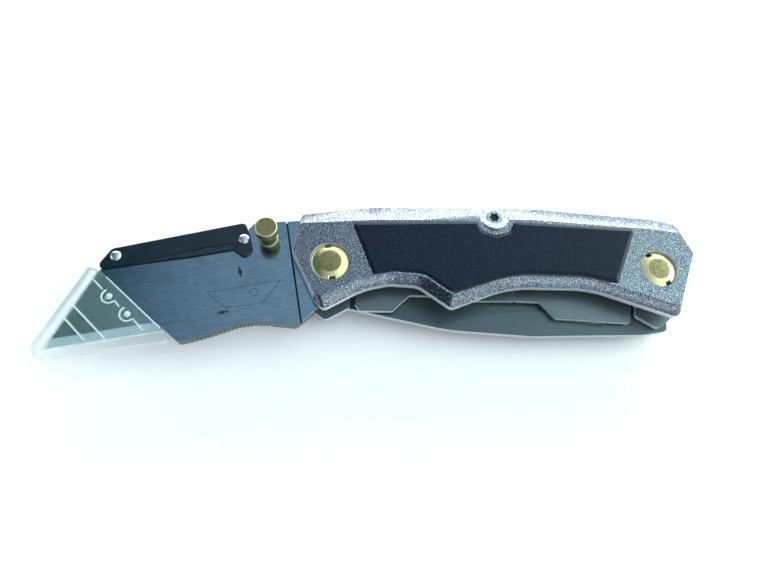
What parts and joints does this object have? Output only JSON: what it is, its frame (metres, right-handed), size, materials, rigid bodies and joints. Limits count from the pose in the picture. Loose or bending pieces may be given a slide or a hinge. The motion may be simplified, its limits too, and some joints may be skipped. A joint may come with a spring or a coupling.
{
  "type": "folding utility knife",
  "caption": "Folding knife with a utility blade holder at one end and a plain folding blade at the other, each with its own lock leaf.",
  "frame": {"origin": "middle of the handle on the rear inlay's outer face, the flat face that the knife rests on, halfway between the two pivots", "axes": "+X along the handle from the utility blade's pivot to the plain blade's pivot, +Y to the spine, +Z out of the front face, upward as the knife lies on its back"},
  "size_m": [0.1632, 0.0408, 0.0184],
  "materials": {
    "scale": "cast, fine sparkling grain, satin",
    "inlay": "fine grain, satin",
    "brass": "turned, polished rim and satin centre",
    "liner_steel": "satin",
    "holder_steel": "brushed",
    "blade_steel": "ground",
    "rivet_steel": "polished",
    "lever_black": "glossy",
    "guard_clear": "clear, moulded",
    "spacer_black": "satin",
    "screw_steel": "satin"
  },
  "bodies": {
    "handle": {"front_scale": "scale", "rear_scale": "scale", "front_inlay": "inlay", "rear_inlay": "inlay", "utility_pivot_nut": "brass", "utility_pivot_bolt": "brass", "sports_pivot_nut": "brass", "sports_pivot_bolt": "brass", "utility_washer_rear": "brass", "utility_washer_front": "brass", "sports_washer_rear": "brass", "sports_washer_front": "brass", "utility_pivot_spacer": "liner_steel", "sports_pivot_spacer": "liner_steel", "spine_screw": "screw_steel", "spine_nut": "screw_steel", "centre_liner": "liner_steel", "front_backspacer": "spacer_black", "rear_backspacer": "spacer_black", "utility_stop_pin": "rivet_steel"},
    "holder": {"holder_back_plate": "holder_steel", "holder_channel_plate": "holder_steel", "holder_front_plate": "holder_steel", "holder_tang_cap": "holder_steel", "utility_blade": "blade_steel", "thumb_stud": "brass", "lever_rivet": "rivet_steel"},
    "lever": {"release_lever": "lever_black", "lever_catch_pin": "rivet_steel"},
    "guard": {"blade_guard": "guard_clear"},
    "plain_blade": {"sports_blade": "blade_steel"},
    "utility_lock": {"utility_lock_leaf": "liner_steel"},
    "plain_lock": {"sports_lock_leaf": "liner_steel"}
  },
  "joints": [
    {"name": "holder_fold", "type": "hinge", "parent": "handle", "child": "holder", "pos_m": [-0.0422, 0, 0.00995], "axis": [0, 0, 1], "range_deg": [0, 160]},
    {"name": "plain_blade_fold", "type": "hinge", "parent": "handle", "child": "plain_blade", "pos_m": [0.0422, 0, 0.0054], "axis": [0, 0, 1], "range_deg": [0, 180]},
    {"name": "release_lever_lift", "type": "hinge", "parent": "holder", "child": "lever", "pos_m": [-0.0942, 0.0013, 0.00995], "axis": [0, 0, 1], "range_deg": [0, 8]},
    {"name": "guard_slide", "type": "slide", "parent": "holder", "child": "guard", "axis": [0.982, 0.1891, 0], "range_m": [-0.035, 0]},
    {"name": "utility_lock_flex", "type": "hinge", "parent": "handle", "child": "utility_lock", "pos_m": [-0.0085, -0.0047, 0.0075], "axis": [0, -1, 0], "range_deg": [-3, 0]},
    {"name": "plain_lock_flex", "type": "hinge", "parent": "handle", "child": "plain_lock", "pos_m": [0.0055, -0.0049, 0.0075], "axis": [0, 1, 0], "range_deg": [0, 1.8]}
  ],
  "couplings": [
    {"joint": "plain_lock_flex", "follows": "plain_blade_fold", "ratio": 0.01}
  ]
}
